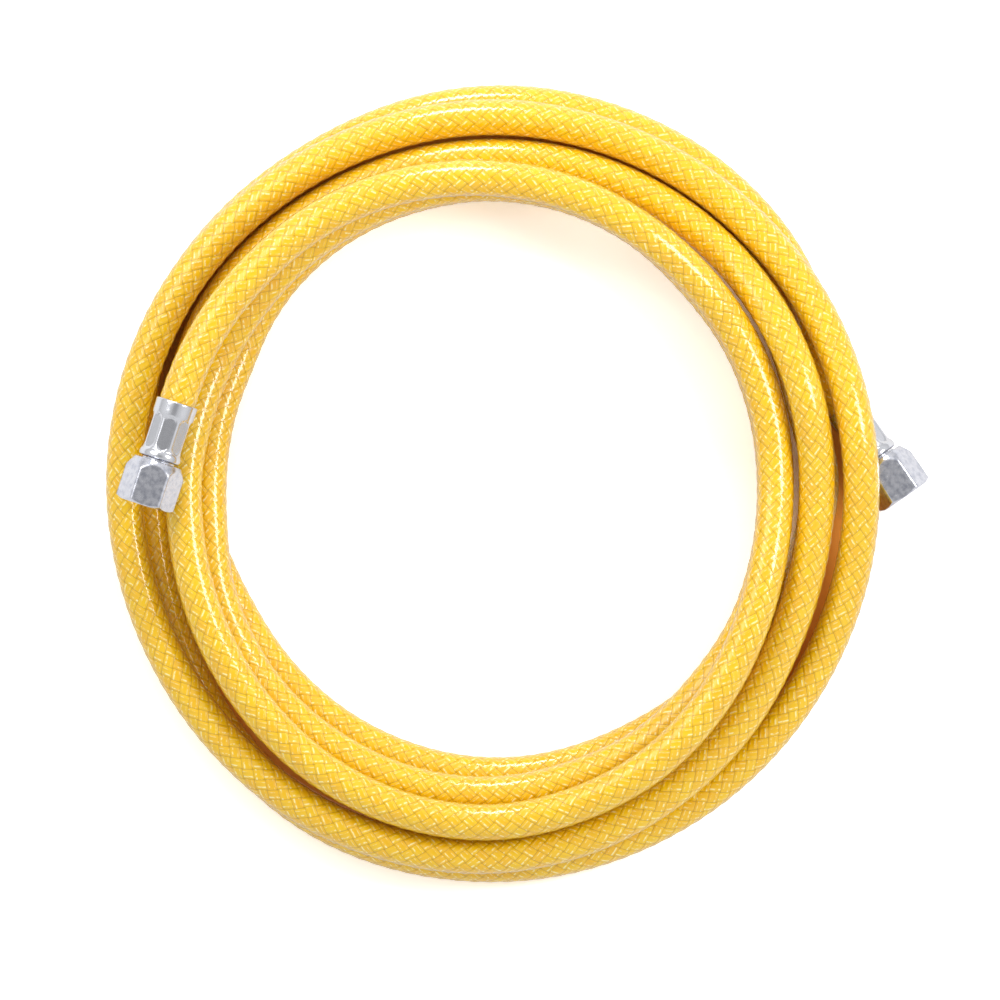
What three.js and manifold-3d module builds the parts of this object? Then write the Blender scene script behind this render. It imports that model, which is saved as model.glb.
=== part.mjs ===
// A coiled gas hose: 5.4 turns of braided PVC hose with a crimped ferrule and a
// swivelling union nut at each end.
// Millimetres, +Z up. The coil lies flat on z = 0. The coil's axis stands at
// COIL_CENTRE, which puts the middle of the whole outline on the origin.

import * as THREE from 'three';
import { mergeVertices } from 'three/addons/utils/BufferGeometryUtils.js';
import Module from 'manifold-3d';

const wasm = await Module();
wasm.setup();

// Hose
const HOSE_OD = 17;
const HOSE_BORE = 10;
const HOSE_SIDES = 12;
const BORE_SIDES = 8;
const RING_STEP = 12;                     // degrees of coil between two rings
const COIL_CENTRE = { x: -10.7, y: 0.9 };
const COIL_REACH = 175.8;                  // widest turn's centre line, from the coil's axis

// Fit between neighbouring pieces
const GAP = 0.3;                          // pieces that are pressed or crimped together
const SWIVEL_GAP = 0.4;                   // round the neck that the nut turns on

// Crimped ferrule
const FERRULE_LENGTH = 27.5;
const FERRULE_WALL = 1.15;
const FERRULE_FRONT_WALL = 1.3;           // front end, turned in behind the tail's shoulder
const COLLAR_LENGTH = 6.5;                // round flared collar at the mouth
const COLLAR_TAPER = 0.2;                 // the collar narrows by this towards the crimp
const COLLAR_EDGE = 0.4;                  // bevel round the mouth
const MOUTH_SQUEEZE = 0.1;                // how far the mouth closes on the hose, on the radius
const CRIMP_SQUEEZE = 1.4;                // how far the crimp closes on the hose, on the radius
const CRIMP_RAMP = 2;                     // length over which each squeeze comes on
const CRIMP_JAWS = 8;
const JAW_START = 6.9;                    // the pressed panels begin this far from the mouth
const JAW_WIDTH = 6.3;
const JAW_LENGTH = 17;
const JAW_CORNER = 2.9;                   // arched ends of the pressed panels
const JAW_BITE = 0.55;                    // depth of a panel below the ridges beside it
const BAND_SWELL = 0.8;                  // the round band at the front stands out by this much
const BAND_LENGTH = 2.8;
const BAND_SLOPE = 0.8;                   // length over which the band rises from the crimp
const BAND_EDGE = 1;                      // rounding of the band's front edge

// Hose tail, the turned piece inside the hose and the nut
const TAIL_BORE = 7;
const TAIL_WALL = 1.0;                    // at the root of the barbs
const TAIL_INSET = 2;                     // the barbed stem starts this far inside the mouth
const TAIL_NOSE = 0.3;                    // the stem's thinner start, off the radius
const BARBS = 4;
const BARB_SLOPE = 0.8;                   // share of a barb's length that rises to its crest
const BARB_BACK = 0.05;                   // share of it that drops back
const HOSE_END_GAP = 2;                   // between the hose's cut end and the ferrule's front wall
const SHOULDER_STEP = 1.2;                // the shoulder stands over the ferrule's groove by this
const NECK_WALL = 4.1;
const FLANGE_THICKNESS = 2.5;

// Union nut
const NUT_ACROSS_FLATS = 24;
const NUT_LENGTH = 21;
const NUT_BACK_GAP = 1;                   // open ring between ferrule and nut
const NUT_LIP = 3;                        // inner lip that pulls on the flange
const THREAD_MINOR = 18.63;               // G 1/2 inside thread, at its crests
const THREAD_MAJOR = 20.96;
const LEAD_IN_MARGIN = 0.2;               // the bevel at the thread's mouth opens past its roots by this
const REAR_TAPER_LENGTH = 5.5;
const REAR_TAPER_DEPTH = 2.75;
const FRONT_CHAMFER_LENGTH = 1.3;
const FRONT_CHAMFER_DEPTH = 2.25;

// Gasket
const GASKET_THICKNESS = 2;
const GASKET_BORE = 10.4;

// Drawing
const ROUND_SEGMENTS = 28;
const JAW_SEGMENTS = 4;
const CUT_MARGIN = 1;                     // cutting shapes reach past what they cut by this
const SKIN = 0.03;                        // keeps a cutting face off the face beside it
const MERGE_DISTANCE = 1e-4;
const ARC_MIDDLE = 1 - Math.SQRT1_2;      // where a rounding's middle lies, as a share of its radius

// Where the two ferrules' mouths lie, measured from the coil's axis, and which way they point,
// in a coil that reaches 175.8 mm
const FITTING_A = { mouth: [-144.6, 36.1, 57.5], heading: [-0.308, -0.951] };
const FITTING_B = { mouth: [160.7, 33.8, 14.3], heading: [0.57, -0.82] };
const STRAIGHT_RUN = 4;                   // the hose is straight this far before each mouth

// The hose's course through the coil, from fitting B at the bottom to fitting A on top:
// angle in degrees, distance from the coil's axis, height of the hose's centre. The widest
// distance is 175.8 mm. In a coil of another COIL_REACH every turn and both fittings move out
// or in by the difference, so that the turns stay a hose diameter apart.
const COURSE = [
  [24, 163, 11.5], [36, 168.5, 8.52], [45, 171, 8.52], [60, 173.2, 8.52], [90, 173.8, 8.52],
  [120, 169.5, 8.52], [150, 168.9, 8.52], [165, 168.3, 8.52], [180, 159.5, 8.52],
  [195, 159.5, 8.52], [210, 164, 8.52], [240, 174.5, 8.52], [270, 175.8, 8.52], [300, 173.8, 8.52],
  [330, 170.8, 10.31], [345, 169.5, 21], [360, 168.3, 34.5], [372, 167.5, 37], [390, 167, 29.5],
  [405, 166.3, 25.97], [435, 166.6, 25.97], [450, 167, 25.97], [480, 167, 26.41],
  [510, 168.8, 26.41], [540, 169.6, 25.52], [555, 169.7, 25.07], [570, 170.3, 25.97],
  [600, 172.8, 26.41], [615, 172.6, 26.41], [630, 171.5, 26.41], [645, 168.2, 26.41],
  [660, 163.3, 25.07], [675, 157.9, 23.73], [690, 152.2, 24.63], [705, 149, 29.55],
  [720, 148, 34.47], [735, 148, 42.52], [750, 148.3, 38.94], [765, 148.6, 29.1],
  [780, 148.8, 25.97], [795, 149, 24.63], [810, 149, 23.73], [840, 149.4, 21.94],
  [855, 150.5, 19.7], [865, 151, 17.02], [875, 150.3, 11.65], [885, 148.2, 8.52], [900, 141, 8.52],
  [910, 136, 8.52], [920, 133, 8.52], [930, 131.8, 8.52], [960, 133.3, 8.52], [990, 135, 8.52],
  [1020, 135.3, 8.52], [1050, 141, 8.52], [1065, 146.5, 8.52], [1080, 150, 14.78],
  [1093, 146.5, 23.73], [1110, 149, 21.05], [1125, 149.5, 11.2], [1140, 145, 8.52],
  [1155, 140, 8.52], [1170, 137.5, 8.52], [1200, 136.5, 8.52], [1215, 135, 8.52], [1225, 133, 8.97],
  [1235, 130.5, 10.76], [1245, 130.5, 16.57], [1260, 131, 23.73], [1270, 132.5, 25.97],
  [1280, 136, 25.97], [1290, 138.5, 25.97], [1305, 141.5, 25.07], [1320, 143, 25.07],
  [1335, 144, 25.07], [1350, 143.5, 25.52], [1365, 141, 25.97], [1380, 139, 26.41],
  [1395, 135, 26.41], [1410, 133, 25.07], [1425, 130.5, 22.39], [1440, 129, 14.34],
  [1455, 129, 12.55], [1470, 129.5, 16.57], [1485, 130, 28.2], [1500, 133, 36.26],
  [1515, 135.3, 38.05], [1530, 136.5, 38.05], [1560, 137.5, 37.15], [1575, 138, 34.02],
  [1585, 138, 30.89], [1595, 138.5, 28.65], [1605, 139.5, 32.23], [1620, 142, 38.94],
  [1630, 143, 41.63], [1650, 147, 42.07], [1665, 150.5, 41.18], [1680, 154, 39.39],
  [1695, 156, 38.94], [1710, 156, 38.94], [1725, 152.5, 40.73], [1740, 148, 42.52],
  [1755, 141.5, 43.41], [1770, 135, 42.97], [1785, 130.5, 39.84], [1800, 129, 33.13],
  [1815, 129.5, 33.13], [1830, 130, 37.15], [1845, 131, 46.55], [1860, 133, 55.05],
  [1875, 136, 56.39], [1890, 138.5, 56.39], [1920, 143.5, 55.3], [1935, 145, 55.5], [1950, 147, 56],
];

// Sizes that follow from those above, as radii and as distances along a fitting's axis
// from the ferrule's mouth
const growth = COIL_REACH - Math.max(...COURSE.map((station) => station[1]));
const hoseRadius = HOSE_OD / 2;
const boreRadius = HOSE_BORE / 2;
const ferruleFrontInside = FERRULE_LENGTH - FERRULE_FRONT_WALL;
const hoseEnd = ferruleFrontInside - HOSE_END_GAP;
const tailBoreRadius = TAIL_BORE / 2;
const grooveRadius = boreRadius + GAP;
const shoulderRadius = grooveRadius + SHOULDER_STEP;
const neckRadius = tailBoreRadius + NECK_WALL;
const nutBack = FERRULE_LENGTH + NUT_BACK_GAP;
const nutFront = nutBack + NUT_LENGTH;
const lipFront = nutBack + NUT_LIP;
const flangeBack = lipFront + GAP;
const flangeFront = flangeBack + FLANGE_THICKNESS;
const flangeRadius = THREAD_MINOR / 2 - GAP;
const gasketBack = flangeFront + GAP;
const gasketFront = gasketBack + GASKET_THICKNESS;
const nutCornerRadius = NUT_ACROSS_FLATS / 2 / Math.cos(Math.PI / 6);

// A closed profile of [radius, distance along the axis], turned about the axis (local Y).
function turned(profile, segments = ROUND_SEGMENTS) {
  const points = profile.map(([radius, along]) => new THREE.Vector2(radius, along));
  points.push(points[0].clone());
  return new THREE.LatheGeometry(points, segments);
}

// A closed geometry as a solid that can be joined and cut.
function toSolid(geometry) {
  const bare = geometry.clone();
  bare.deleteAttribute('normal');
  bare.deleteAttribute('uv');
  const merged = mergeVertices(bare, MERGE_DISTANCE);
  return new wasm.Manifold(new wasm.Mesh({
    numProp: 3,
    vertProperties: new Float32Array(merged.attributes.position.array),
    triVerts: new Uint32Array(merged.index.array),
  }));
}

function toGeometry(solid) {
  const mesh = solid.getMesh();
  const geometry = new THREE.BufferGeometry();
  geometry.setAttribute('position', new THREE.BufferAttribute(mesh.vertProperties, 3));
  geometry.setIndex(new THREE.BufferAttribute(mesh.triVerts, 1));
  geometry.computeVertexNormals();
  return geometry;
}

// The hose's outer surface where the ferrule squeezes it: [radius, distance from the mouth].
function squeezedHoseProfile(clearance) {
  const atMouth = hoseRadius - MOUTH_SQUEEZE + clearance;
  const atCrimp = hoseRadius - CRIMP_SQUEEZE + clearance;
  return [
    [atMouth, 0],
    [atMouth, COLLAR_LENGTH],
    [atCrimp, COLLAR_LENGTH + CRIMP_RAMP],
    [atCrimp, ferruleFrontInside],
  ];
}

// Distance from the coil's axis and height of the hose's centre at an angle of the course.
function courseAt(angle) {
  let i = COURSE.findIndex((station) => station[0] > angle) - 1;
  if (i < 0) i = angle < COURSE[0][0] ? 0 : COURSE.length - 2;
  const slope = (j, k) => {
    const before = COURSE[Math.max(j - 1, 0)];
    const after = COURSE[Math.min(j + 1, COURSE.length - 1)];
    return (after[k] - before[k]) / (after[0] - before[0]);
  };
  const span = COURSE[i + 1][0] - COURSE[i][0];
  const t = (angle - COURSE[i][0]) / span;
  const blend = (k) => (2 * t ** 3 - 3 * t ** 2 + 1) * COURSE[i][k]
    + (t ** 3 - 2 * t ** 2 + t) * span * slope(i, k)
    + (3 * t ** 2 - 2 * t ** 3) * COURSE[i + 1][k]
    + (t ** 3 - t ** 2) * span * slope(i + 1, k);
  return { reach: blend(1) + growth, height: Math.max(blend(2), hoseRadius) };
}

// A point on a fitting's axis, this far outward from its ferrule's mouth.
function onAxis(fitting, along) {
  const [x, y, z] = fitting.mouth;
  const [hx, hy] = fitting.heading;
  const length = Math.hypot(hx, hy);
  const shift = 1 + growth / Math.hypot(x, y);
  return new THREE.Vector3(x * shift + hx / length * along, y * shift + hy / length * along, z);
}

// Ring centres of the hose from its end in ferrule B, round the coil, to its end in ferrule A.
function hoseRings() {
  const rings = [onAxis(FITTING_B, hoseEnd), onAxis(FITTING_B, -STRAIGHT_RUN)];
  const first = Math.ceil(COURSE[0][0] / RING_STEP) * RING_STEP;
  const last = COURSE[COURSE.length - 1][0];
  for (let angle = first; angle <= last; angle += RING_STEP) {
    const { reach, height } = courseAt(angle);
    const turn = THREE.MathUtils.degToRad(angle);
    rings.push(new THREE.Vector3(reach * Math.cos(turn), reach * Math.sin(turn), height));
  }
  rings.push(onAxis(FITTING_A, -STRAIGHT_RUN), onAxis(FITTING_A, hoseEnd));
  return rings;
}

// A curve that runs straight from ring to ring, so that each ring of the sweep lies on its
// own point and neighbouring turns keep their rings side by side.
class RingRoute extends THREE.Curve {
  constructor(rings) {
    super();
    this.rings = rings;
  }

  getPoint(t) {
    const place = t * (this.rings.length - 1);
    const i = Math.min(Math.floor(place), this.rings.length - 2);
    return this.rings[i].clone().lerp(this.rings[i + 1], place - i);
  }

  getPointAt(u) {
    return this.getPoint(u);
  }

  getTangentAt(u) {
    return this.getTangent(u);
  }
}

function polygon(radius, sides) {
  const points = [];
  for (let i = 0; i < sides; i += 1) {
    const turn = (i / sides) * 2 * Math.PI;
    points.push(new THREE.Vector2(radius * Math.cos(turn), radius * Math.sin(turn)));
  }
  return points;
}

// What the ferrule takes off the hose's outside, as a ring round the hose's end.
function squeezeRing() {
  const clear = hoseRadius + CUT_MARGIN;
  const profile = squeezedHoseProfile(0);
  profile[profile.length - 1][1] = hoseEnd + CUT_MARGIN;
  return turned([
    [hoseRadius + SKIN, -CRIMP_RAMP],
    ...profile,
    [clear, hoseEnd + CUT_MARGIN],
    [clear, -CRIMP_RAMP],
  ].reverse());
}

// The hose: one tube with its bore, swept through the whole coil and necked down in both ferrules.
function hose() {
  const section = new THREE.Shape(polygon(hoseRadius, HOSE_SIDES));
  const boreCorner = boreRadius / Math.cos(Math.PI / BORE_SIDES);
  section.holes.push(new THREE.Path(polygon(boreCorner, BORE_SIDES)));
  const rings = hoseRings();
  const tube = new THREE.ExtrudeGeometry(section, {
    steps: rings.length - 1,
    extrudePath: new RingRoute(rings),
    bevelEnabled: false,
    curveSegments: 1,
  });
  let solid = toSolid(tube);
  for (const fitting of [FITTING_A, FITTING_B]) {
    const ring = squeezeRing();
    ring.applyMatrix4(fittingPlace(fitting));
    solid = solid.subtract(toSolid(ring));
  }
  return toGeometry(solid);
}

// Local Y along the fitting's axis, local Z up, origin in the middle of the ferrule's mouth.
function fittingPlace(fitting) {
  const along = new THREE.Vector3(fitting.heading[0], fitting.heading[1], 0).normalize();
  const up = new THREE.Vector3(0, 0, 1);
  const across = new THREE.Vector3().crossVectors(along, up);
  const place = new THREE.Matrix4().makeBasis(across, along, up);
  place.setPosition(onAxis(fitting, 0));
  return place;
}

// One pressed panel: a plate with arched ends that a crimping jaw takes out of the ferrule.
function crimpJaw(apothem) {
  const half = JAW_WIDTH / 2;
  const end = JAW_START + JAW_LENGTH;
  const outline = new THREE.Shape();
  outline.moveTo(-half, JAW_START + JAW_CORNER);
  outline.quadraticCurveTo(-half, JAW_START, 0, JAW_START);
  outline.quadraticCurveTo(half, JAW_START, half, JAW_START + JAW_CORNER);
  outline.lineTo(half, end - JAW_CORNER);
  outline.quadraticCurveTo(half, end, 0, end);
  outline.quadraticCurveTo(-half, end, -half, end - JAW_CORNER);
  const plate = new THREE.ExtrudeGeometry(outline, {
    depth: hoseRadius,
    bevelEnabled: false,
    curveSegments: JAW_SEGMENTS,
  });
  return plate.translate(0, 0, apothem);
}

// Ferrule: a flared collar, eight crimped panels and a round band, with its front end turned in.
function ferrule() {
  const inside = squeezedHoseProfile(GAP);
  const collarOutside = inside[0][0] + FERRULE_WALL;
  const crimpOutside = inside[2][0] + FERRULE_WALL + JAW_BITE;
  const bandOutside = crimpOutside + BAND_SWELL;
  const bandStart = FERRULE_LENGTH - BAND_LENGTH;
  const frontBore = grooveRadius + GAP;
  const body = turned([
    ...inside,
    [frontBore, ferruleFrontInside],
    [frontBore, FERRULE_LENGTH],
    [bandOutside - BAND_EDGE, FERRULE_LENGTH],
    [bandOutside - BAND_EDGE * ARC_MIDDLE, FERRULE_LENGTH - BAND_EDGE * ARC_MIDDLE],
    [bandOutside, FERRULE_LENGTH - BAND_EDGE],
    [bandOutside, bandStart + BAND_SLOPE],
    [crimpOutside, bandStart],
    [crimpOutside, COLLAR_LENGTH + CRIMP_RAMP],
    [collarOutside - COLLAR_TAPER, COLLAR_LENGTH],
    [collarOutside, COLLAR_EDGE],
    [collarOutside - COLLAR_EDGE, 0],
  ].reverse());
  let solid = toSolid(body);
  for (let i = 0; i < CRIMP_JAWS; i += 1) {
    const jaw = crimpJaw(crimpOutside - JAW_BITE);
    jaw.rotateY((i / CRIMP_JAWS) * 2 * Math.PI);
    solid = solid.subtract(toSolid(jaw));
  }
  return toGeometry(solid);
}

// Hose tail: barbed stem, ferrule groove, neck for the nut and the flange that the gasket sits on.
function hoseTail() {
  const crest = boreRadius - GAP;
  const root = tailBoreRadius + TAIL_WALL;
  const barbedLength = hoseEnd - TAIL_INSET;
  const pitch = barbedLength / BARBS;
  const profile = [[tailBoreRadius, TAIL_INSET], [root - TAIL_NOSE, TAIL_INSET]];
  for (let i = 0; i < BARBS; i += 1) {
    profile.push([crest, TAIL_INSET + pitch * (i + BARB_SLOPE)]);
    profile.push([root, TAIL_INSET + pitch * (i + BARB_SLOPE + BARB_BACK)]);
  }
  profile.push(
    [root, hoseEnd + GAP],
    [shoulderRadius, hoseEnd + GAP],
    [shoulderRadius, ferruleFrontInside - GAP],
    [grooveRadius, ferruleFrontInside - GAP],
    [grooveRadius, FERRULE_LENGTH + GAP],
    [neckRadius, FERRULE_LENGTH + GAP],
    [neckRadius, flangeBack],
    [flangeRadius, flangeBack],
    [flangeRadius, flangeFront],
    [tailBoreRadius, flangeFront],
  );
  return turned(profile);
}

// Union nut: a hexagon with a long taper behind and a chamfer in front, bored for the male thread.
function unionNut() {
  const hexagon = new THREE.CylinderGeometry(nutCornerRadius, nutCornerRadius, NUT_LENGTH, 6);
  hexagon.rotateY(Math.PI / 6);
  hexagon.translate(0, nutBack + NUT_LENGTH / 2, 0);
  const envelope = turned([
    [0, nutBack],
    [nutCornerRadius - REAR_TAPER_DEPTH, nutBack],
    [nutCornerRadius + SKIN, nutBack + REAR_TAPER_LENGTH],
    [nutCornerRadius + SKIN, nutFront - FRONT_CHAMFER_LENGTH],
    [nutCornerRadius - FRONT_CHAMFER_DEPTH, nutFront],
    [0, nutFront],
  ], 2 * ROUND_SEGMENTS);
  const lipRadius = neckRadius + SWIVEL_GAP;
  const socketRadius = THREAD_MINOR / 2;
  const leadIn = (THREAD_MAJOR - THREAD_MINOR) / 2 + LEAD_IN_MARGIN;
  const bore = turned([
    [0, nutBack - CUT_MARGIN],
    [lipRadius, nutBack - CUT_MARGIN],
    [lipRadius, lipFront],
    [socketRadius, lipFront],
    [socketRadius, nutFront - leadIn],
    [socketRadius + leadIn + CUT_MARGIN, nutFront + CUT_MARGIN],
    [0, nutFront + CUT_MARGIN],
  ]);
  const solid = toSolid(hexagon).intersect(toSolid(envelope)).subtract(toSolid(bore));
  return toGeometry(solid);
}

// Flat gasket: lies in the nut against the tail's flange.
function gasket() {
  return turned([
    [GASKET_BORE / 2, gasketBack],
    [flangeRadius, gasketBack],
    [flangeRadius, gasketFront],
    [GASKET_BORE / 2, gasketFront],
  ]);
}

const YELLOW_PVC = { color: 0xe8c020, roughness: 0.35, metalness: 0 };
const ZINC_STEEL = { color: 0xb9bcc2, roughness: 0.35, metalness: 1 };
const BLACK_RUBBER = { color: 0x202022, roughness: 0.8, metalness: 0 };

function piece(name, geometry, finish) {
  const mesh = new THREE.Mesh(geometry, new THREE.MeshStandardMaterial(finish));
  mesh.name = name;
  return mesh;
}

// One end of the hose: ferrule, hose tail, gasket and union nut on a common axis.
function endFitting(fitting, letter) {
  const group = new THREE.Group();
  group.add(piece(`ferrule_${letter}`, ferrule(), ZINC_STEEL));
  group.add(piece(`hose_tail_${letter}`, hoseTail(), ZINC_STEEL));
  group.add(piece(`sealing_gasket_${letter}`, gasket(), BLACK_RUBBER));
  group.add(piece(`union_nut_${letter}`, unionNut(), ZINC_STEEL));
  group.applyMatrix4(fittingPlace(fitting));
  return group;
}

const coiledHose = new THREE.Group();
coiledHose.add(piece('hose', hose(), YELLOW_PVC));
coiledHose.add(endFitting(FITTING_A, 'a'));
coiledHose.add(endFitting(FITTING_B, 'b'));
coiledHose.position.set(COIL_CENTRE.x, COIL_CENTRE.y, 0);

const part = new THREE.Group();
part.add(coiledHose);

export default part;
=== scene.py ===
import bisect
import math

import bmesh
import bpy
from mathutils import Matrix, Vector


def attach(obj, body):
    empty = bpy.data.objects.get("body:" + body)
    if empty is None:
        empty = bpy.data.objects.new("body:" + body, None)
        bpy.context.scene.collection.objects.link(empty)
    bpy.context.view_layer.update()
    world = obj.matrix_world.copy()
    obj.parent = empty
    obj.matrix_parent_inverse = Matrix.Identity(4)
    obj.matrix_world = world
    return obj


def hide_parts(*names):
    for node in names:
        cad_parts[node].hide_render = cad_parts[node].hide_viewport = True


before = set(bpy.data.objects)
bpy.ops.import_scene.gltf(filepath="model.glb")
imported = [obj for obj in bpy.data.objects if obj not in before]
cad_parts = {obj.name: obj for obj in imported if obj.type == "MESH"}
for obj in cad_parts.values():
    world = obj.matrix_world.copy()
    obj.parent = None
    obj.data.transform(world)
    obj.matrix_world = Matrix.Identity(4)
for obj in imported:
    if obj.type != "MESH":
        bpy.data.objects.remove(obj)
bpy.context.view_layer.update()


# Camera. It looks straight down on the coil from far above, as the photograph does, with a
# long lens that takes in 458 mm at the height of the hose.
CAMERA_HEIGHT = 8.0
HOSE_MEAN_HEIGHT = 0.035
PICTURE_WIDTH = 0.458
SENSOR_WIDTH = 36
camera_data = bpy.data.cameras.new("camera")
camera_data.sensor_width = SENSOR_WIDTH
camera_data.lens = SENSOR_WIDTH * (CAMERA_HEIGHT - HOSE_MEAN_HEIGHT) / PICTURE_WIDTH
camera_data.clip_end = 100
camera = bpy.data.objects.new("camera", camera_data)
camera.location = (-0.0080, -0.0076, CAMERA_HEIGHT)
bpy.context.collection.objects.link(camera)
bpy.context.scene.camera = camera


# Hose. Extruded PVC gas hose, 17 mm over a glossy yellow skin that has shrunk onto a textile
# braid, wound in 5.4 turns that lie on and beside each other. Both ends go into a ferrule,
# which squeezes them.
HOSE_DIAMETER = 0.017
HOSE_BORE = 0.010
BRAID_ROUND = 8
BRAID_PITCH = 0.0074
BRAID_RELIEF = 0.00026
COIL_CENTRE = Vector((-0.0107, 0.0009, 0))
FITTINGS = {
    "a": {"mouth": Vector((-0.1446, 0.0361, 0.0575)), "heading": Vector((-0.308, -0.951, 0))},
    "b": {"mouth": Vector((0.1607, 0.0338, 0.0143)), "heading": Vector((0.57, -0.82, 0))},
}
STRAIGHT_RUN = 0.004
HOSE_IN_FERRULE = 0.0242
CRIMP_FROM_MOUTH = 0.0065
SQUEEZE_RUN = 0.002
MOUTH_SQUEEZE = 0.0001
CRIMP_SQUEEZE = 0.0013
BORE_SIDES = 16
BORE_RINGS = 320
COIL_START = 24
COIL_END = 1945
COIL_STEP = 2
EASING_STEPS = 8
WAY_REACH = 0.003
MERGE_DISTANCE = 2e-5
COURSE = [
    (24, 0.163, 0.0115), (36, 0.1685, 0.00852), (45, 0.171, 0.00852), (60, 0.1732, 0.00852),
    (90, 0.1738, 0.00852), (120, 0.1695, 0.00852), (150, 0.1689, 0.00852), (165, 0.1683, 0.00852),
    (180, 0.1595, 0.00852), (195, 0.1595, 0.00852), (210, 0.164, 0.00852), (240, 0.1745, 0.00852),
    (270, 0.1758, 0.00852), (300, 0.1738, 0.00852), (330, 0.1708, 0.01031), (345, 0.1695, 0.021),
    (360, 0.1683, 0.0345), (372, 0.1675, 0.037), (390, 0.167, 0.0295), (405, 0.1663, 0.02597),
    (435, 0.1666, 0.02597), (450, 0.167, 0.02597), (480, 0.167, 0.02641), (510, 0.1688, 0.02641),
    (540, 0.1696, 0.02552), (555, 0.1697, 0.02507), (570, 0.1703, 0.02597), (600, 0.1728, 0.02641),
    (615, 0.1726, 0.02641), (630, 0.1715, 0.02641), (645, 0.1682, 0.02641), (660, 0.1633, 0.02507),
    (675, 0.1579, 0.02373), (690, 0.1522, 0.02463), (705, 0.149, 0.02955), (720, 0.148, 0.03447),
    (735, 0.148, 0.04252), (750, 0.1483, 0.03894), (765, 0.1486, 0.0291), (780, 0.1488, 0.02597),
    (795, 0.149, 0.02463), (810, 0.149, 0.02373), (840, 0.1494, 0.02194), (855, 0.1505, 0.0197),
    (865, 0.151, 0.01702), (875, 0.1503, 0.01165), (885, 0.1482, 0.00852), (900, 0.141, 0.00852),
    (910, 0.136, 0.00852), (920, 0.133, 0.00852), (930, 0.1318, 0.00852), (960, 0.1333, 0.00852),
    (990, 0.135, 0.00852), (1020, 0.1353, 0.00852), (1050, 0.141, 0.00852), (1065, 0.1465, 0.00852),
    (1080, 0.15, 0.01478), (1093, 0.1465, 0.02373), (1110, 0.149, 0.02105), (1125, 0.1495, 0.0112),
    (1140, 0.145, 0.00852), (1155, 0.14, 0.00852), (1170, 0.1375, 0.00852), (1200, 0.1365, 0.00852),
    (1215, 0.135, 0.00852), (1225, 0.133, 0.00897), (1235, 0.1305, 0.01076),
    (1245, 0.1305, 0.01657), (1260, 0.131, 0.02373), (1270, 0.1325, 0.02597),
    (1280, 0.136, 0.02597), (1290, 0.1385, 0.02597), (1305, 0.1415, 0.02507),
    (1320, 0.143, 0.02507), (1335, 0.144, 0.02507), (1350, 0.1435, 0.02552), (1365, 0.141, 0.02597),
    (1380, 0.139, 0.02641), (1395, 0.135, 0.02641), (1410, 0.133, 0.02507), (1425, 0.1305, 0.02239),
    (1440, 0.129, 0.01434), (1455, 0.129, 0.01255), (1470, 0.1295, 0.01657), (1485, 0.13, 0.0282),
    (1500, 0.133, 0.03626), (1515, 0.1353, 0.03805), (1530, 0.1365, 0.03805),
    (1560, 0.1375, 0.03715), (1575, 0.138, 0.03402), (1585, 0.138, 0.03089),
    (1595, 0.1385, 0.02865), (1605, 0.1395, 0.03223), (1620, 0.142, 0.03894),
    (1630, 0.143, 0.04163), (1650, 0.147, 0.04207), (1665, 0.1505, 0.04118), (1680, 0.154, 0.03939),
    (1695, 0.156, 0.03894), (1710, 0.156, 0.03894), (1725, 0.1525, 0.04073), (1740, 0.148, 0.04252),
    (1755, 0.1415, 0.04341), (1770, 0.135, 0.04297), (1785, 0.1305, 0.03984),
    (1800, 0.129, 0.03313), (1815, 0.1295, 0.03313), (1830, 0.13, 0.03715), (1845, 0.131, 0.04655),
    (1860, 0.133, 0.05505), (1875, 0.136, 0.05639), (1890, 0.1385, 0.05639), (1920, 0.1435, 0.0553),
    (1935, 0.145, 0.0555), (1950, 0.147, 0.056),
]


def along_fitting(letter, distance):
    fitting = FITTINGS[letter]
    return COIL_CENTRE + fitting["mouth"] + fitting["heading"].normalized() * distance


def course_slope(i, k):
    before = COURSE[max(i - 1, 0)]
    after = COURSE[min(i + 1, len(COURSE) - 1)]
    return (after[k] - before[k]) / (after[0] - before[0])


def course_point(angle):
    i = min(max(bisect.bisect_right(COURSE, (angle, 9, 9)) - 1, 0), len(COURSE) - 2)
    span = COURSE[i + 1][0] - COURSE[i][0]
    t = (angle - COURSE[i][0]) / span
    reach, height = (
        (2 * t**3 - 3 * t**2 + 1) * COURSE[i][k]
        + (t**3 - 2 * t**2 + t) * span * course_slope(i, k)
        + (3 * t**2 - 2 * t**3) * COURSE[i + 1][k]
        + (t**3 - t**2) * span * course_slope(i + 1, k)
        for k in (1, 2)
    )
    turn = math.radians(angle)
    flat = Vector((reach * math.cos(turn), reach * math.sin(turn), 0))
    return COIL_CENTRE + flat + Vector((0, 0, max(height, HOSE_DIAMETER / 2)))


def easing(start, start_way, end, end_way, steps):
    pull = (end - start).length
    points = []
    for i in range(1, steps):
        t = i / steps
        points.append(
            (2 * t**3 - 3 * t**2 + 1) * start
            + (t**3 - 2 * t**2 + t) * pull * start_way.normalized()
            + (3 * t**2 - 2 * t**3) * end
            + (t**3 - t**2) * pull * end_way.normalized()
        )
    return points


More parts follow.
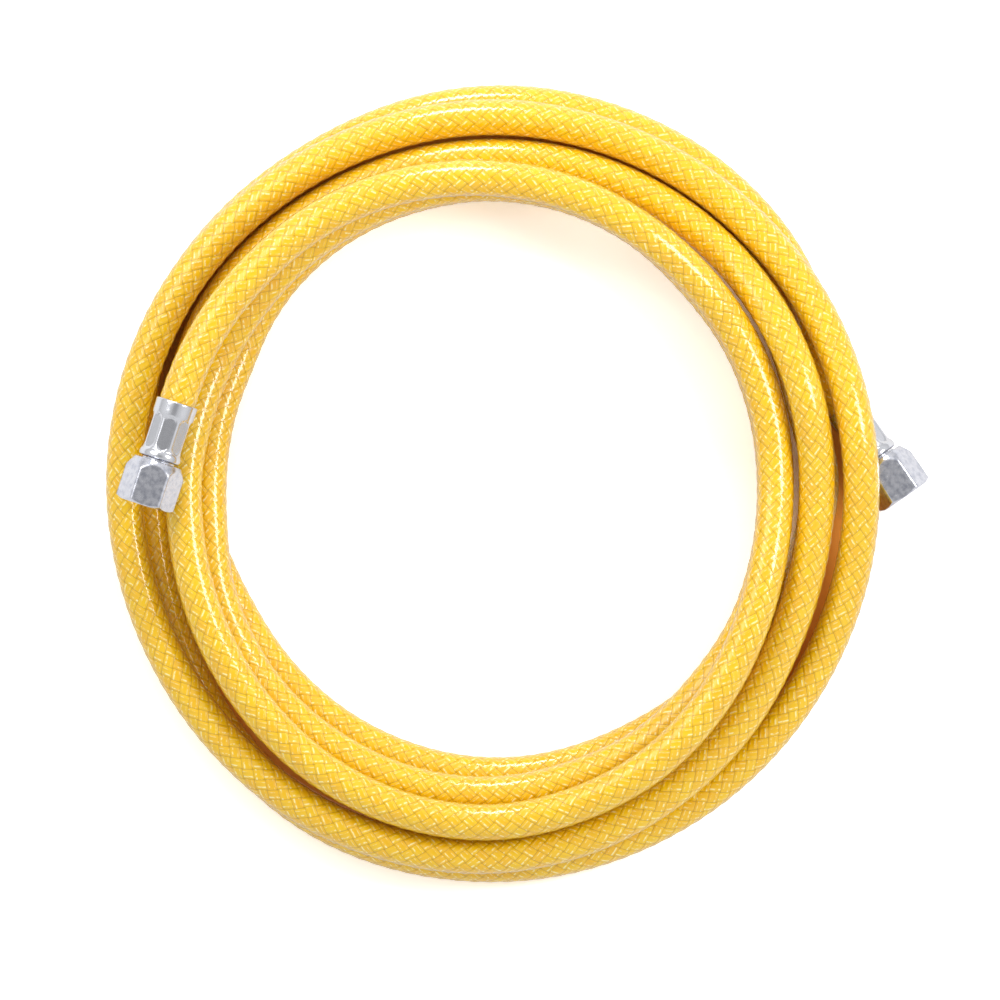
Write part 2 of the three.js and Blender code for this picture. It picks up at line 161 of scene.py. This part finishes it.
coil_line = [course_point(angle) for angle in range(COIL_START, COIL_END, COIL_STEP)]
mouth_a = along_fitting("a", -STRAIGHT_RUN)
mouth_b = along_fitting("b", -STRAIGHT_RUN)
hose_line = (
    [along_fitting("b", HOSE_IN_FERRULE), mouth_b]
    + easing(
        mouth_b, -FITTINGS["b"]["heading"],
        coil_line[0], coil_line[1] - coil_line[0], EASING_STEPS,
    )
    + coil_line
    + easing(
        coil_line[-1], coil_line[-1] - coil_line[-2],
        mouth_a, FITTINGS["a"]["heading"], EASING_STEPS,
    )
    + [mouth_a, along_fitting("a", HOSE_IN_FERRULE)]
)
run_to = [0.0]
for before, after in zip(hose_line, hose_line[1:]):
    run_to.append(run_to[-1] + (after - before).length)
hose_length = run_to[-1]


def line_point(run):
    i = min(max(bisect.bisect_right(run_to, run) - 1, 0), len(run_to) - 2)
    return hose_line[i].lerp(hose_line[i + 1], (run - run_to[i]) / (run_to[i + 1] - run_to[i]))


def hose_frame(run):
    way = (line_point(run + WAY_REACH) - line_point(run - WAY_REACH)).normalized()
    out = way.cross(Vector((0, 0, 1))).normalized()
    return line_point(run), out, out.cross(way)


def squeeze(run):
    into = HOSE_IN_FERRULE - min(run, hose_length - run)
    collar = min(max(into + SQUEEZE_RUN, 0) / SQUEEZE_RUN, 1) * MOUTH_SQUEEZE
    crimp = min(max(into - CRIMP_FROM_MOUTH, 0) / SQUEEZE_RUN, 1) * CRIMP_SQUEEZE
    return collar + crimp


braid_rows = round(hose_length / BRAID_PITCH)
hose_mesh = bmesh.new()
hose_uv = hose_mesh.loops.layers.uv.new("braid")
bmesh.ops.create_grid(hose_mesh, x_segments=BRAID_ROUND, y_segments=braid_rows, size=0.5)
bmesh.ops.translate(hose_mesh, verts=hose_mesh.verts, vec=(0.5, 0.5, 0))
cell_edges = [edge for edge in hose_mesh.edges if not edge.is_boundary]
bmesh.ops.poke(hose_mesh, faces=hose_mesh.faces)
bmesh.ops.dissolve_edges(hose_mesh, edges=cell_edges)
bmesh.ops.subdivide_edges(hose_mesh, edges=hose_mesh.edges, cuts=1, use_grid_fill=True)
for face in hose_mesh.faces:
    for loop in face.loops:
        loop[hose_uv].uv = loop.vert.co.xy
for vert in hose_mesh.verts:
    centre, out, up = hose_frame(vert.co.y * hose_length)
    crown = abs(
        math.sin(math.pi * (vert.co.x * BRAID_ROUND + vert.co.y * braid_rows))
        * math.sin(math.pi * (vert.co.x * BRAID_ROUND - vert.co.y * braid_rows))
    )
    radius = HOSE_DIAMETER / 2 - squeeze(vert.co.y * hose_length) - BRAID_RELIEF * (1 - crown)
    turn = 2 * math.pi * vert.co.x - math.pi / 2
    vert.co = centre + radius * (out * math.cos(turn) + up * math.sin(turn))
bmesh.ops.remove_doubles(hose_mesh, verts=hose_mesh.verts, dist=MERGE_DISTANCE)
bore_grid = bmesh.ops.create_grid(
    hose_mesh, x_segments=BORE_SIDES, y_segments=BORE_RINGS, size=0.5,
)
bore = bore_grid["verts"]
for vert in bore:
    centre, out, up = hose_frame((vert.co.y + 0.5) * hose_length)
    turn = 2 * math.pi * vert.co.x
    vert.co = centre + HOSE_BORE / 2 * (out * math.cos(turn) + up * math.sin(turn))
bmesh.ops.remove_doubles(hose_mesh, verts=bore, dist=MERGE_DISTANCE)
rims = [edge for edge in hose_mesh.edges if edge.is_boundary]
for end in (hose_line[0], hose_line[-1]):
    near = [edge for edge in rims if (edge.verts[0].co - end).length < 0.012]
    bmesh.ops.bridge_loops(hose_mesh, edges=near)
bmesh.ops.recalc_face_normals(hose_mesh, faces=hose_mesh.faces)
for face in hose_mesh.faces:
    face.smooth = True
hose_data = bpy.data.meshes.new("hose_braided")
hose_mesh.to_mesh(hose_data)
hose_mesh.free()
hose = bpy.data.objects.new("hose_braided", hose_data)
bpy.context.collection.objects.link(hose)

pvc = bpy.data.materials.new("yellow_pvc")
pvc.use_nodes = True
nodes = pvc.node_tree.nodes
links = pvc.node_tree.links
skin = nodes["Principled BSDF"]
skin.inputs["Roughness"].default_value = 0.28
skin.inputs["Specular IOR Level"].default_value = 0.35
skin.inputs["Coat Weight"].default_value = 1.0
skin.inputs["Coat Roughness"].default_value = 0.08
braid_map = nodes.new("ShaderNodeUVMap")
braid_map.uv_map = "braid"
braid_count = nodes.new("ShaderNodeVectorMath")
braid_count.operation = "MULTIPLY"
braid_count.inputs[1].default_value = (BRAID_ROUND, braid_rows, 1)
links.new(braid_map.outputs["UV"], braid_count.inputs[0])
cell = nodes.new("ShaderNodeSeparateXYZ")
links.new(braid_count.outputs[0], cell.inputs["Vector"])
yarn_shares = []
yarn_counts = []
for lean in ("ADD", "SUBTRACT"):
    yarn = nodes.new("ShaderNodeMath")
    yarn.operation = lean
    links.new(cell.outputs["X"], yarn.inputs[0])
    links.new(cell.outputs["Y"], yarn.inputs[1])
    share = nodes.new("ShaderNodeMath")
    share.operation = "FRACT"
    links.new(yarn.outputs[0], share.inputs[0])
    yarn_shares.append(share)
    count = nodes.new("ShaderNodeMath")
    count.operation = "FLOOR"
    links.new(yarn.outputs[0], count.inputs[0])
    yarn_counts.append(count)
both_counts = nodes.new("ShaderNodeMath")
both_counts.operation = "ADD"
links.new(yarn_counts[0].outputs[0], both_counts.inputs[0])
links.new(yarn_counts[1].outputs[0], both_counts.inputs[1])
which_on_top = nodes.new("ShaderNodeMath")
which_on_top.operation = "FLOORED_MODULO"
which_on_top.inputs[1].default_value = 2
links.new(both_counts.outputs[0], which_on_top.inputs[0])
across = nodes.new("ShaderNodeMix")
links.new(which_on_top.outputs[0], across.inputs["Factor"])
links.new(yarn_shares[1].outputs[0], across.inputs["A"])
links.new(yarn_shares[0].outputs[0], across.inputs["B"])
along = nodes.new("ShaderNodeMix")
links.new(which_on_top.outputs[0], along.inputs["Factor"])
links.new(yarn_shares[0].outputs[0], along.inputs["A"])
links.new(yarn_shares[1].outputs[0], along.inputs["B"])
yarn_round = nodes.new("ShaderNodeFloatCurve")
curve = yarn_round.mapping.curves[0]
curve.points[0].location = (0.0, 0.05)
curve.points[1].location = (1.0, 0.0)
for x, y in ((0.1, 0.6), (0.27, 1.0), (0.5, 0.7), (0.73, 0.95), (0.9, 0.5)):
    curve.points.new(x, y)
yarn_round.mapping.update()
links.new(across.outputs["Result"], yarn_round.inputs["Value"])
yarn_dive = nodes.new("ShaderNodeFloatCurve")
curve = yarn_dive.mapping.curves[0]
curve.points[0].location = (0.0, 0.35)
curve.points[1].location = (1.0, 0.35)
for x, y in ((0.2, 0.9), (0.5, 1.0), (0.8, 0.9)):
    curve.points.new(x, y)
yarn_dive.mapping.update()
links.new(along.outputs["Result"], yarn_dive.inputs["Value"])
yarn_height = nodes.new("ShaderNodeMath")
yarn_height.operation = "MULTIPLY"
links.new(yarn_round.outputs[0], yarn_height.inputs[0])
links.new(yarn_dive.outputs[0], yarn_height.inputs[1])
grain = nodes.new("ShaderNodeTexNoise")
grain.inputs["Scale"].default_value = 2.6
grain.inputs["Detail"].default_value = 3
links.new(braid_count.outputs[0], grain.inputs["Vector"])
skin_height = nodes.new("ShaderNodeMath")
skin_height.operation = "MULTIPLY_ADD"
skin_height.inputs[1].default_value = 0.6
links.new(grain.outputs["Fac"], skin_height.inputs[0])
links.new(yarn_height.outputs[0], skin_height.inputs[2])
relief = nodes.new("ShaderNodeBump")
relief.inputs["Strength"].default_value = 1.0
relief.inputs["Distance"].default_value = 0.00030
links.new(skin_height.outputs[0], relief.inputs["Height"])
links.new(relief.outputs["Normal"], skin.inputs["Normal"])
gloss_relief = nodes.new("ShaderNodeBump")
gloss_relief.inputs["Strength"].default_value = 1.0
gloss_relief.inputs["Distance"].default_value = 0.00005
links.new(skin_height.outputs[0], gloss_relief.inputs["Height"])
links.new(gloss_relief.outputs["Normal"], skin.inputs["Coat Normal"])
# Pale strokes along one side of each yarn: partly the pale thread under the skin and partly a
# painted highlight on the yarns' lit side.
stroke = nodes.new("ShaderNodeFloatCurve")
curve = stroke.mapping.curves[0]
curve.points[1].location = (1.0, 0.0)
for x, y in (
    (0.16, 0.0), (0.23, 1.0), (0.3, 1.0), (0.37, 0.0), (0.66, 0.0), (0.73, 0.7), (0.8, 0.0),
):
    point = curve.points.new(x, y)
    point.handle_type = "VECTOR"
stroke.mapping.update()
links.new(across.outputs["Result"], stroke.inputs["Value"])
stroke_place = nodes.new("ShaderNodeTexNoise")
stroke_place.inputs["Scale"].default_value = 3.6
stroke_place.inputs["Detail"].default_value = 2
links.new(braid_count.outputs[0], stroke_place.inputs["Vector"])
stroke_level = nodes.new("ShaderNodeMapRange")
stroke_level.inputs["From Min"].default_value = 0.47
stroke_level.inputs["From Max"].default_value = 0.58
stroke_level.inputs["To Min"].default_value = 0.05
stroke_level.inputs["To Max"].default_value = 1.0
links.new(stroke_place.outputs["Fac"], stroke_level.inputs["Value"])
thread_and_glint_share = nodes.new("ShaderNodeMath")
thread_and_glint_share.operation = "MULTIPLY"
links.new(stroke.outputs[0], thread_and_glint_share.inputs[0])
links.new(stroke_level.outputs["Result"], thread_and_glint_share.inputs[1])
# Painted shade: the base colour darkens to a brown olive in the low grooves between the yarns,
# where shade falls.
painted_crevice_shade = nodes.new("ShaderNodeMapRange")
painted_crevice_shade.inputs["From Min"].default_value = 0.16
painted_crevice_shade.inputs["From Max"].default_value = 0.42
painted_crevice_shade.inputs["To Min"].default_value = 0.6
painted_crevice_shade.inputs["To Max"].default_value = 0.0
links.new(yarn_height.outputs[0], painted_crevice_shade.inputs["Value"])
painted_shade_mix = nodes.new("ShaderNodeMix")
painted_shade_mix.data_type = "RGBA"
cell_corner = nodes.new("ShaderNodeCombineXYZ")
links.new(yarn_counts[0].outputs[0], cell_corner.inputs["X"])
links.new(yarn_counts[1].outputs[0], cell_corner.inputs["Y"])
cell_chance = nodes.new("ShaderNodeTexWhiteNoise")
cell_chance.noise_dimensions = "2D"
links.new(cell_corner.outputs["Vector"], cell_chance.inputs["Vector"])
cell_tone = nodes.new("ShaderNodeMix")
cell_tone.data_type = "RGBA"
cell_tone.inputs["A"].default_value = (0.90, 0.565, 0.003, 1)
cell_tone.inputs["B"].default_value = (0.88, 0.495, 0.004, 1)
links.new(cell_chance.outputs["Value"], cell_tone.inputs["Factor"])
links.new(cell_tone.outputs["Result"], painted_shade_mix.inputs["A"])
painted_shade_mix.inputs["B"].default_value = (0.42, 0.22, 0.006, 1)
links.new(painted_crevice_shade.outputs["Result"], painted_shade_mix.inputs["Factor"])
# The pale stroke colour goes over the base: part thread colour, part painted highlight.
tone = nodes.new("ShaderNodeMix")
tone.data_type = "RGBA"
tone.inputs["B"].default_value = (1.0, 0.88, 0.38, 1)
links.new(thread_and_glint_share.outputs[0], tone.inputs["Factor"])
links.new(painted_shade_mix.outputs["Result"], tone.inputs["A"])
links.new(tone.outputs["Result"], skin.inputs["Base Color"])
skin.inputs["Sheen Weight"].default_value = 0.06
skin.inputs["Sheen Roughness"].default_value = 0.5
skin.inputs["Sheen Tint"].default_value = (1.0, 0.45, 0.12, 1)
hose_data.materials.append(pvc)

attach(hose, "hose_assembly")
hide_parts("hose")


# Zinc plate. Every steel piece of the two fittings has this bright zinc coat. It is mottled a
# faint blue-grey on nuts and tails, and smoother on the pressed ferrules.
zinc = bpy.data.materials.new("zinc_plate")
zinc.use_nodes = True
nodes = zinc.node_tree.nodes
links = zinc.node_tree.links
plate = nodes["Principled BSDF"]
plate.inputs["Metallic"].default_value = 1.0
where = nodes.new("ShaderNodeTexCoord")
mottle = nodes.new("ShaderNodeTexNoise")
mottle.inputs["Scale"].default_value = 420
mottle.inputs["Detail"].default_value = 5
mottle.inputs["Roughness"].default_value = 0.5
links.new(where.outputs["Object"], mottle.inputs["Vector"])
plate_tone = nodes.new("ShaderNodeMix")
plate_tone.data_type = "RGBA"
plate_tone.inputs["A"].default_value = (0.50, 0.52, 0.60, 1)
plate_tone.inputs["B"].default_value = (0.70, 0.71, 0.77, 1)
mottle_spread = nodes.new("ShaderNodeMapRange")
mottle_spread.inputs["From Min"].default_value = 0.30
mottle_spread.inputs["From Max"].default_value = 0.58
links.new(mottle.outputs["Fac"], mottle_spread.inputs["Value"])
links.new(mottle_spread.outputs["Result"], plate_tone.inputs["Factor"])
links.new(plate_tone.outputs["Result"], plate.inputs["Base Color"])
plate_gloss = nodes.new("ShaderNodeMapRange")
plate_gloss.inputs["To Min"].default_value = 0.12
plate_gloss.inputs["To Max"].default_value = 0.34
links.new(mottle.outputs["Fac"], plate_gloss.inputs["Value"])
links.new(plate_gloss.outputs["Result"], plate.inputs["Roughness"])

bright = bpy.data.materials.new("bright_zinc")
bright.use_nodes = True
nodes = bright.node_tree.nodes
links = bright.node_tree.links
sheath = nodes["Principled BSDF"]
sheath.inputs["Metallic"].default_value = 1.0
sheath.inputs["Base Color"].default_value = (0.70, 0.71, 0.75, 1)
where = nodes.new("ShaderNodeTexCoord")
wear = nodes.new("ShaderNodeTexNoise")
wear.inputs["Scale"].default_value = 900
links.new(where.outputs["Object"], wear.inputs["Vector"])
sheath_gloss = nodes.new("ShaderNodeMapRange")
sheath_gloss.inputs["To Min"].default_value = 0.08
sheath_gloss.inputs["To Max"].default_value = 0.28
links.new(wear.outputs["Fac"], sheath_gloss.inputs["Value"])
links.new(sheath_gloss.outputs["Result"], sheath.inputs["Roughness"])


# Ferrules. Each is pressed from one steel sleeve: a round flared collar at the mouth, eight
# crimped panels with arched ends and bright ridges between them, and a round band in front.
FERRULE_LENGTH = 0.0275
FERRULE_MOUTH = 0.0087
FERRULE_INSIDE = 0.0074
FERRULE_FRONT_BORE = 0.0056
FERRULE_FRONT_WALL = 0.0013
RIDGE_RADIUS = 0.0091
PANEL_APOTHEM = 0.00850
PANEL_HALF_WIDTH = 0.00322
PANEL_ARCH = 0.0030
PANEL_START = 0.0072
PANEL_END = 0.0234
PANEL_RIM = 0.0007
CRIMP_PANELS = 8
SLEEVE_OUTSIDE = 0.0090


def fitting_place(letter):
    way = FITTINGS[letter]["heading"].normalized()
    side = way.cross(Vector((0, 0, 1)))
    place = Matrix((side, way, Vector((0, 0, 1)))).transposed().to_4x4()
    place.translation = along_fitting(letter, 0)
    return place


def turned(profile, segments):
    mesh = bmesh.new()
    ring = [mesh.verts.new((radius, along, 0)) for radius, along in profile]
    rim = [mesh.edges.new((ring[i - 1], ring[i])) for i in range(len(ring))]
    bmesh.ops.spin(
        mesh, geom=ring + rim, cent=(0, 0, 0), axis=(0, 1, 0),
        angle=2 * math.pi, steps=segments, use_merge=True,
    )
    bmesh.ops.remove_doubles(mesh, verts=mesh.verts, dist=1e-6)
    bmesh.ops.recalc_face_normals(mesh, faces=mesh.faces)
    for face in mesh.faces:
        face.smooth = True
    return mesh


def finish_piece(name, mesh, letter, body, material):
    mesh.transform(fitting_place(letter))
    data = bpy.data.meshes.new(name)
    mesh.to_mesh(data)
    mesh.free()
    data.materials.append(material)
    piece = bpy.data.objects.new(name, data)
    bpy.context.collection.objects.link(piece)
    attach(piece, body)
    return piece


ferrule_rows = [(RIDGE_RADIUS, 0.0235 - i * 0.0004) for i in range(39)]
ferrule_profile = (
    [(FERRULE_MOUTH, 0.0004), (FERRULE_MOUTH, CRIMP_FROM_MOUTH), (FERRULE_INSIDE, 0.0085)]
    + [(FERRULE_INSIDE, FERRULE_LENGTH - FERRULE_FRONT_WALL)]
    + [(FERRULE_FRONT_BORE, FERRULE_LENGTH - FERRULE_FRONT_WALL)]
    + [(FERRULE_FRONT_BORE, FERRULE_LENGTH)]
    + [(0.0085, FERRULE_LENGTH), (0.0091, 0.02744), (0.0096, 0.0271), (0.00986, 0.0266)]
    + [(0.0099, 0.0260), (0.00986, 0.0254), (0.00976, 0.0248), (0.0096, 0.0243), (0.0094, 0.0239)]
    + ferrule_rows
    + [(0.00915, 0.0079), (0.00935, 0.0073), (0.00960, 0.0068), (0.00968, 0.0062)]
    + [(0.00970, 0.0045), (0.00974, 0.0025), (0.00984, 0.0009), (0.00980, 0.0004)]
    + [(0.00962, 0.0001), (0.0094, 0.0), (0.0090, 0.0), (0.0088, 0.0001)]
)
for letter in "ab":
    mesh = turned(ferrule_profile, 16 * CRIMP_PANELS)
    for vert in mesh.verts:
        radius = math.hypot(vert.co.x, vert.co.z)
        if radius < SLEEVE_OUTSIDE or not PANEL_START < vert.co.y < PANEL_END:
            continue
        panel_turn = 2 * math.pi / CRIMP_PANELS
        turn = math.atan2(vert.co.x, vert.co.z)
        off = (turn + panel_turn / 2) % panel_turn - panel_turn / 2
        to_end = min(vert.co.y - PANEL_START, PANEL_END - vert.co.y)
        arch = min(to_end / PANEL_ARCH, 1)
        half_width = PANEL_HALF_WIDTH * math.sqrt(arch * (2 - arch))
        inside = min(max((half_width - abs(radius * math.sin(off))) / PANEL_RIM, 0), 1)
        inside = inside * inside * (3 - 2 * inside)
        flat = PANEL_APOTHEM / math.cos(off)
        stretch = 1 + inside * (min(flat, radius) - radius) / radius
        vert.co.x *= stretch
        vert.co.z *= stretch
    finish_piece(f"ferrule_fine_{letter}", mesh, letter, "hose_assembly", bright)
    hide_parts(f"ferrule_{letter}")


# Union nuts. Each is a turned hexagon with softened edges, a long taper behind and a chamfer
# in front, and it has the real G 1/2 thread, 1.814 mm from turn to turn, cut in its socket.
NUT_BACK = 0.0285
NUT_FRONT = 0.0495
NUT_HALF_WIDTH = 0.012
NUT_NECK = 0.0080
THREAD_START = 0.0317
THREAD_END = 0.0483
THREAD_PITCH = 0.001814
THREAD_CREST = 0.009315
THREAD_ROOT = 0.01048
NUT_SOFTENING = 0.00025
NUT_SEGMENTS = 96
HEXAGON_INSIDE = 0.0110


def soft_min(a, b, width):
    share = max(width - abs(a - b), 0) / width
    return min(a, b) - share * share * width / 4


nut_corner = NUT_HALF_WIDTH / math.cos(math.pi / 6)
thread_rows = [(THREAD_ROOT - 0.0005, THREAD_START + i * 0.0002) for i in range(1, 83)]
nut_profile = (
    [(NUT_NECK, NUT_BACK + 0.0002), (NUT_NECK, 0.0313), (NUT_NECK + 0.0002, 0.0315)]
    + [(THREAD_CREST, 0.0315), (THREAD_CREST, THREAD_START)]
    + thread_rows
    + [(THREAD_CREST + 0.0003, THREAD_END + 0.0001), (0.01060, NUT_FRONT - 0.00008)]
    + [(0.01070, NUT_FRONT), (0.01090, NUT_FRONT), (nut_corner - 0.00235, NUT_FRONT)]
    + [(nut_corner - 0.00225 + i * 0.000225, NUT_FRONT - 0.00005 - i * 0.000125) for i in range(11)]
    + [(nut_corner + 0.0002, 0.0478 - i * 0.0008) for i in range(17)]
    + [(nut_corner + 0.0001 - i * 0.00012, 0.0340 - i * 0.00023) for i in range(24)]
    + [(nut_corner - 0.0029, NUT_BACK + 0.00005), (nut_corner - 0.0031, NUT_BACK)]
    + [(NUT_NECK + 0.0002, NUT_BACK)]
)
for letter in "ab":
    mesh = turned(nut_profile, NUT_SEGMENTS)
    for vert in mesh.verts:
        radius = math.hypot(vert.co.x, vert.co.z)
        turn = math.atan2(vert.co.x, vert.co.z)
        if radius > HEXAGON_INSIDE:
            off = (turn + math.pi / 6) % (math.pi / 3) - math.pi / 6
            side = NUT_HALF_WIDTH / math.cos(off)
            side = soft_min(side, nut_corner - 0.00008, NUT_SOFTENING)
            wanted = soft_min(side, radius, NUT_SOFTENING)
        elif THREAD_START < vert.co.y < THREAD_END and radius > THREAD_CREST:
            climb = (vert.co.y / THREAD_PITCH - turn / (2 * math.pi)) % 1
            wave = 0.5 + 0.62 * math.cos(2 * math.pi * climb)
            wanted = THREAD_CREST + (THREAD_ROOT - THREAD_CREST) * min(max(wave, 0), 1)
        else:
            continue
        vert.co.x *= wanted / radius
        vert.co.z *= wanted / radius
    finish_piece(
        f"union_nut_fine_{letter}", mesh, letter, f"union_nut_{letter}", zinc,
    )
    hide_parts(f"union_nut_{letter}")


# Tails and gaskets. The tails show only in the nuts' sockets and keep their turned form, with
# the same zinc plate. The gaskets in front of them are dull black rubber.
rubber = bpy.data.materials.new("gasket_rubber")
rubber.use_nodes = True
nodes = rubber.node_tree.nodes
links = rubber.node_tree.links
gum = nodes["Principled BSDF"]
gum.inputs["Base Color"].default_value = (0.018, 0.018, 0.019, 1)
gum.inputs["Roughness"].default_value = 0.75
where = nodes.new("ShaderNodeTexCoord")
speckle = nodes.new("ShaderNodeTexNoise")
speckle.inputs["Scale"].default_value = 1500
links.new(where.outputs["Object"], speckle.inputs["Vector"])
gum_relief = nodes.new("ShaderNodeBump")
gum_relief.inputs["Strength"].default_value = 0.4
gum_relief.inputs["Distance"].default_value = 0.0001
links.new(speckle.outputs["Fac"], gum_relief.inputs["Height"])
links.new(gum_relief.outputs["Normal"], gum.inputs["Normal"])
for letter in "ab":
    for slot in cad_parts[f"hose_tail_{letter}"].material_slots:
        slot.material = zinc
    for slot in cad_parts[f"sealing_gasket_{letter}"].material_slots:
        slot.material = rubber


# Floor and backdrop: a white paper sweep under the coil, with a soft shadow on it. In a ring under
# the turns the paper is painted warm brown, a painted shade that darkens the gaps between the
# turns.
FLOOR_DROP = 0.0002
FLOOR_HALF_SIZE = 4
floor_mesh = bmesh.new()
bmesh.ops.create_grid(floor_mesh, x_segments=1, y_segments=1, size=FLOOR_HALF_SIZE)
floor_data = bpy.data.meshes.new("floor")
floor_mesh.to_mesh(floor_data)
floor_mesh.free()
floor = bpy.data.objects.new("floor", floor_data)
floor.location = (0, 0, -FLOOR_DROP)
bpy.context.collection.objects.link(floor)
paper = bpy.data.materials.new("paper")
paper.use_nodes = True
nodes = paper.node_tree.nodes
links = paper.node_tree.links
nodes.remove(nodes["Principled BSDF"])
white = nodes.new("ShaderNodeBsdfDiffuse")
seen = nodes.new("ShaderNodeLightPath")
level = nodes.new("ShaderNodeMapRange")
level.inputs["To Min"].default_value = 0.85
level.inputs["To Max"].default_value = 1.6
links.new(seen.outputs["Is Camera Ray"], level.inputs["Value"])
spot = nodes.new("ShaderNodeNewGeometry")
from_axis = nodes.new("ShaderNodeVectorMath")
from_axis.operation = "DISTANCE"
from_axis.inputs[1].default_value = (COIL_CENTRE.x, COIL_CENTRE.y, floor.location.z)
links.new(spot.outputs["Position"], from_axis.inputs[0])
# Painted shade: a warm brown ring on the paper under the coil darkens the gaps between the turns.
painted_gap_shade_ring = nodes.new("ShaderNodeFloatCurve")
curve = painted_gap_shade_ring.mapping.curves[0]
curve.points[1].location = (1.0, 0.0)
for x, y in ((0.139, 0.0), (0.143, 1.0), (0.165, 1.0), (0.168, 0.0)):
    point = curve.points.new(x, y)
    point.handle_type = "VECTOR"
painted_gap_shade_ring.mapping.update()
links.new(from_axis.outputs["Value"], painted_gap_shade_ring.inputs["Value"])
paper_tone = nodes.new("ShaderNodeMix")
paper_tone.data_type = "RGBA"
paper_tone.inputs["B"].default_value = (0.85, 0.36, 0.07, 1)
links.new(painted_gap_shade_ring.outputs[0], paper_tone.inputs["Factor"])
links.new(level.outputs["Result"], paper_tone.inputs["A"])
links.new(paper_tone.outputs["Result"], white.inputs["Color"])
links.new(white.outputs["BSDF"], nodes["Material Output"].inputs["Surface"])
floor_data.materials.append(paper)


# Lights: a white surround with a dim patch straight overhead, and three soft round lamps. Those to
# the right and beyond the top draw the long gloss on each turn, and the left one fills in.
LAMPS_AIM = Vector((0, 0, 0.03))
world = bpy.data.worlds.new("surround")
bpy.context.scene.world = world
world.use_nodes = True
nodes = world.node_tree.nodes
links = world.node_tree.links
sky_way = nodes.new("ShaderNodeTexCoord")
sky_parts = nodes.new("ShaderNodeSeparateXYZ")
links.new(sky_way.outputs["Generated"], sky_parts.inputs["Vector"])
sky_level = nodes.new("ShaderNodeFloatCurve")
curve = sky_level.mapping.curves[0]
curve.points[0].location = (0.0, 0.62)
curve.points[1].location = (1.0, 0.38)
for height, level_there in ((0.1, 0.68), (0.6, 0.84), (0.86, 0.74), (0.94, 0.66), (0.98, 0.46)):
    curve.points.new(height, level_there)
sky_level.mapping.update()
links.new(sky_parts.outputs["Z"], sky_level.inputs["Value"])
sky_strength = nodes.new("ShaderNodeMath")
sky_strength.operation = "MULTIPLY"
sky_strength.inputs[1].default_value = 1.02
links.new(sky_level.outputs[0], sky_strength.inputs[0])
links.new(sky_strength.outputs[0], nodes["Background"].inputs["Strength"])
nodes["Background"].inputs["Color"].default_value = (1, 1, 1, 1)
for name, spot, size, power in (
    ("right_lamp", (0.88, 0.20, 0.96), 0.46, 6.2),
    ("left_lamp", (-0.55, 0.45, 0.75), 0.60, 2.1),
    ("upper_lamp", (-0.10, 0.92, 0.50), 0.28, 3.6),
):
    lamp_data = bpy.data.lights.new(name, "AREA")
    lamp_data.shape = "DISK"
    lamp_data.size = size
    lamp_data.energy = power
    lamp = bpy.data.objects.new(name, lamp_data)
    lamp.location = spot
    lamp.rotation_euler = (LAMPS_AIM - Vector(spot)).to_track_quat("-Z", "Y").to_euler()
    bpy.context.collection.objects.link(lamp)


# The hose's centre line, worked out at even steps from inside the upper ferrule down to the lower
# one; the points are not kept or used.
CORD_STEPS = 600
[tuple(line_point(hose_length * (1 - i / CORD_STEPS))) for i in range(CORD_STEPS + 1)]
bpy.context.scene.view_settings.view_transform = "Standard"
